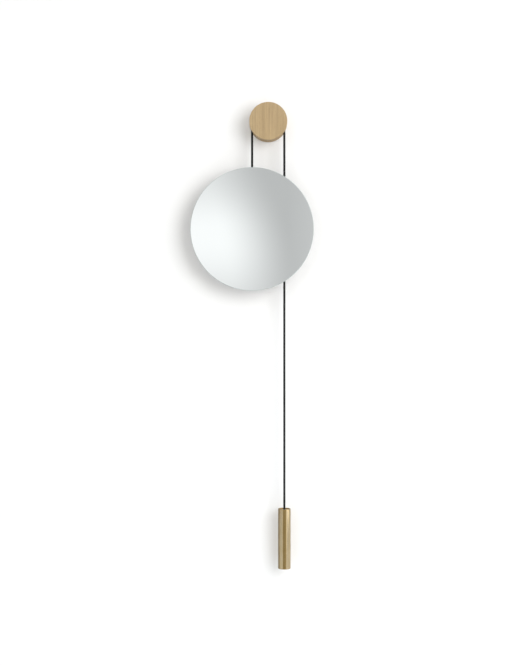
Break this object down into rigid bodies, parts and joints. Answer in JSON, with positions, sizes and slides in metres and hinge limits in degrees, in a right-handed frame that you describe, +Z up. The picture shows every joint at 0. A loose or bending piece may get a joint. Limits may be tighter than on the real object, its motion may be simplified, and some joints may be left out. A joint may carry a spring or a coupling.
{
  "type": "adjustable wall mirror",
  "caption": "Round frameless wall mirror on a cord that runs over an oak pulley wheel to a brass counterweight, so the mirror's height can be changed by hand.",
  "frame": {"origin": "centre of the wall plate's back face, on the wall and on the pulley wheel's axis", "axes": "+Z up, +Y into the wall (the outward normal of the wall plate's back face), -Y towards the viewer, +X to the viewer's right"},
  "size_m": [0.35, 0.056, 1.3275],
  "materials": {
    "steel": "satin zinc-plated steel",
    "bronze": "plain sintered bronze",
    "oak": "pale oak, matt oiled, fine straight grain",
    "brass": "polished brass with a soft sheen",
    "cord": "braided black cord",
    "mirror": "clear mirror, edge ground and polished",
    "board": "dark fibreboard",
    "foam": "double-sided foam tape",
    "felt": "dark wool felt"
  },
  "bodies": {
    "wall_mount": {"wall_plate": "steel", "axle": "steel", "axle_nut": "steel", "rear_washer": "steel", "front_washer": "steel", "cord_wrap": "cord"},
    "wheel": {"wheel_hub": "oak", "wheel_front_disc": "oak", "rear_bush": "bronze", "front_bush": "bronze", "disc_screw_1": "steel", "disc_screw_2": "steel", "disc_screw_3": "steel"},
    "mirror": {"mirror_glass": "mirror", "adhesive_pad_1": "foam", "adhesive_pad_2": "foam", "adhesive_pad_3": "foam", "adhesive_pad_4": "foam", "backing_board": "board", "hanger_bracket": "steel", "hanger_screw_1": "steel", "hanger_screw_2": "steel", "hanger_screw_3": "steel", "hanger_screw_4": "steel", "mirror_cord_ferrule": "brass", "cord_mirror_leg": "cord", "standoff_left": "oak", "standoff_right": "oak", "felt_foot_left": "felt", "felt_foot_right": "felt"},
    "counterweight": {"weight_body": "brass", "weight_cap": "brass", "weight_cord_ferrule": "steel", "cord_weight_leg": "cord"}
  },
  "joints": [
    {"name": "mirror_slide", "type": "slide", "parent": "wall_mount", "child": "mirror", "axis": [0, 0, 1], "range_m": [-0.3, 0.07], "deforming": ["cord_mirror_leg"]},
    {"name": "weight_slide", "type": "slide", "parent": "wall_mount", "child": "counterweight", "axis": [0, 0, 1], "range_m": [-0.07, 0.3], "deforming": ["cord_weight_leg"]},
    {"name": "wheel_spin", "type": "hinge", "parent": "wall_mount", "child": "wheel", "pos_m": [0, -0.036, 0], "axis": [0, 1, 0], "range_deg": [-373.8, 87.3]}
  ],
  "couplings": [
    {"joint": "weight_slide", "follows": "mirror_slide", "ratio": -1},
    {"joint": "wheel_spin", "follows": "mirror_slide", "rad_per_m": 21.739}
  ]
}
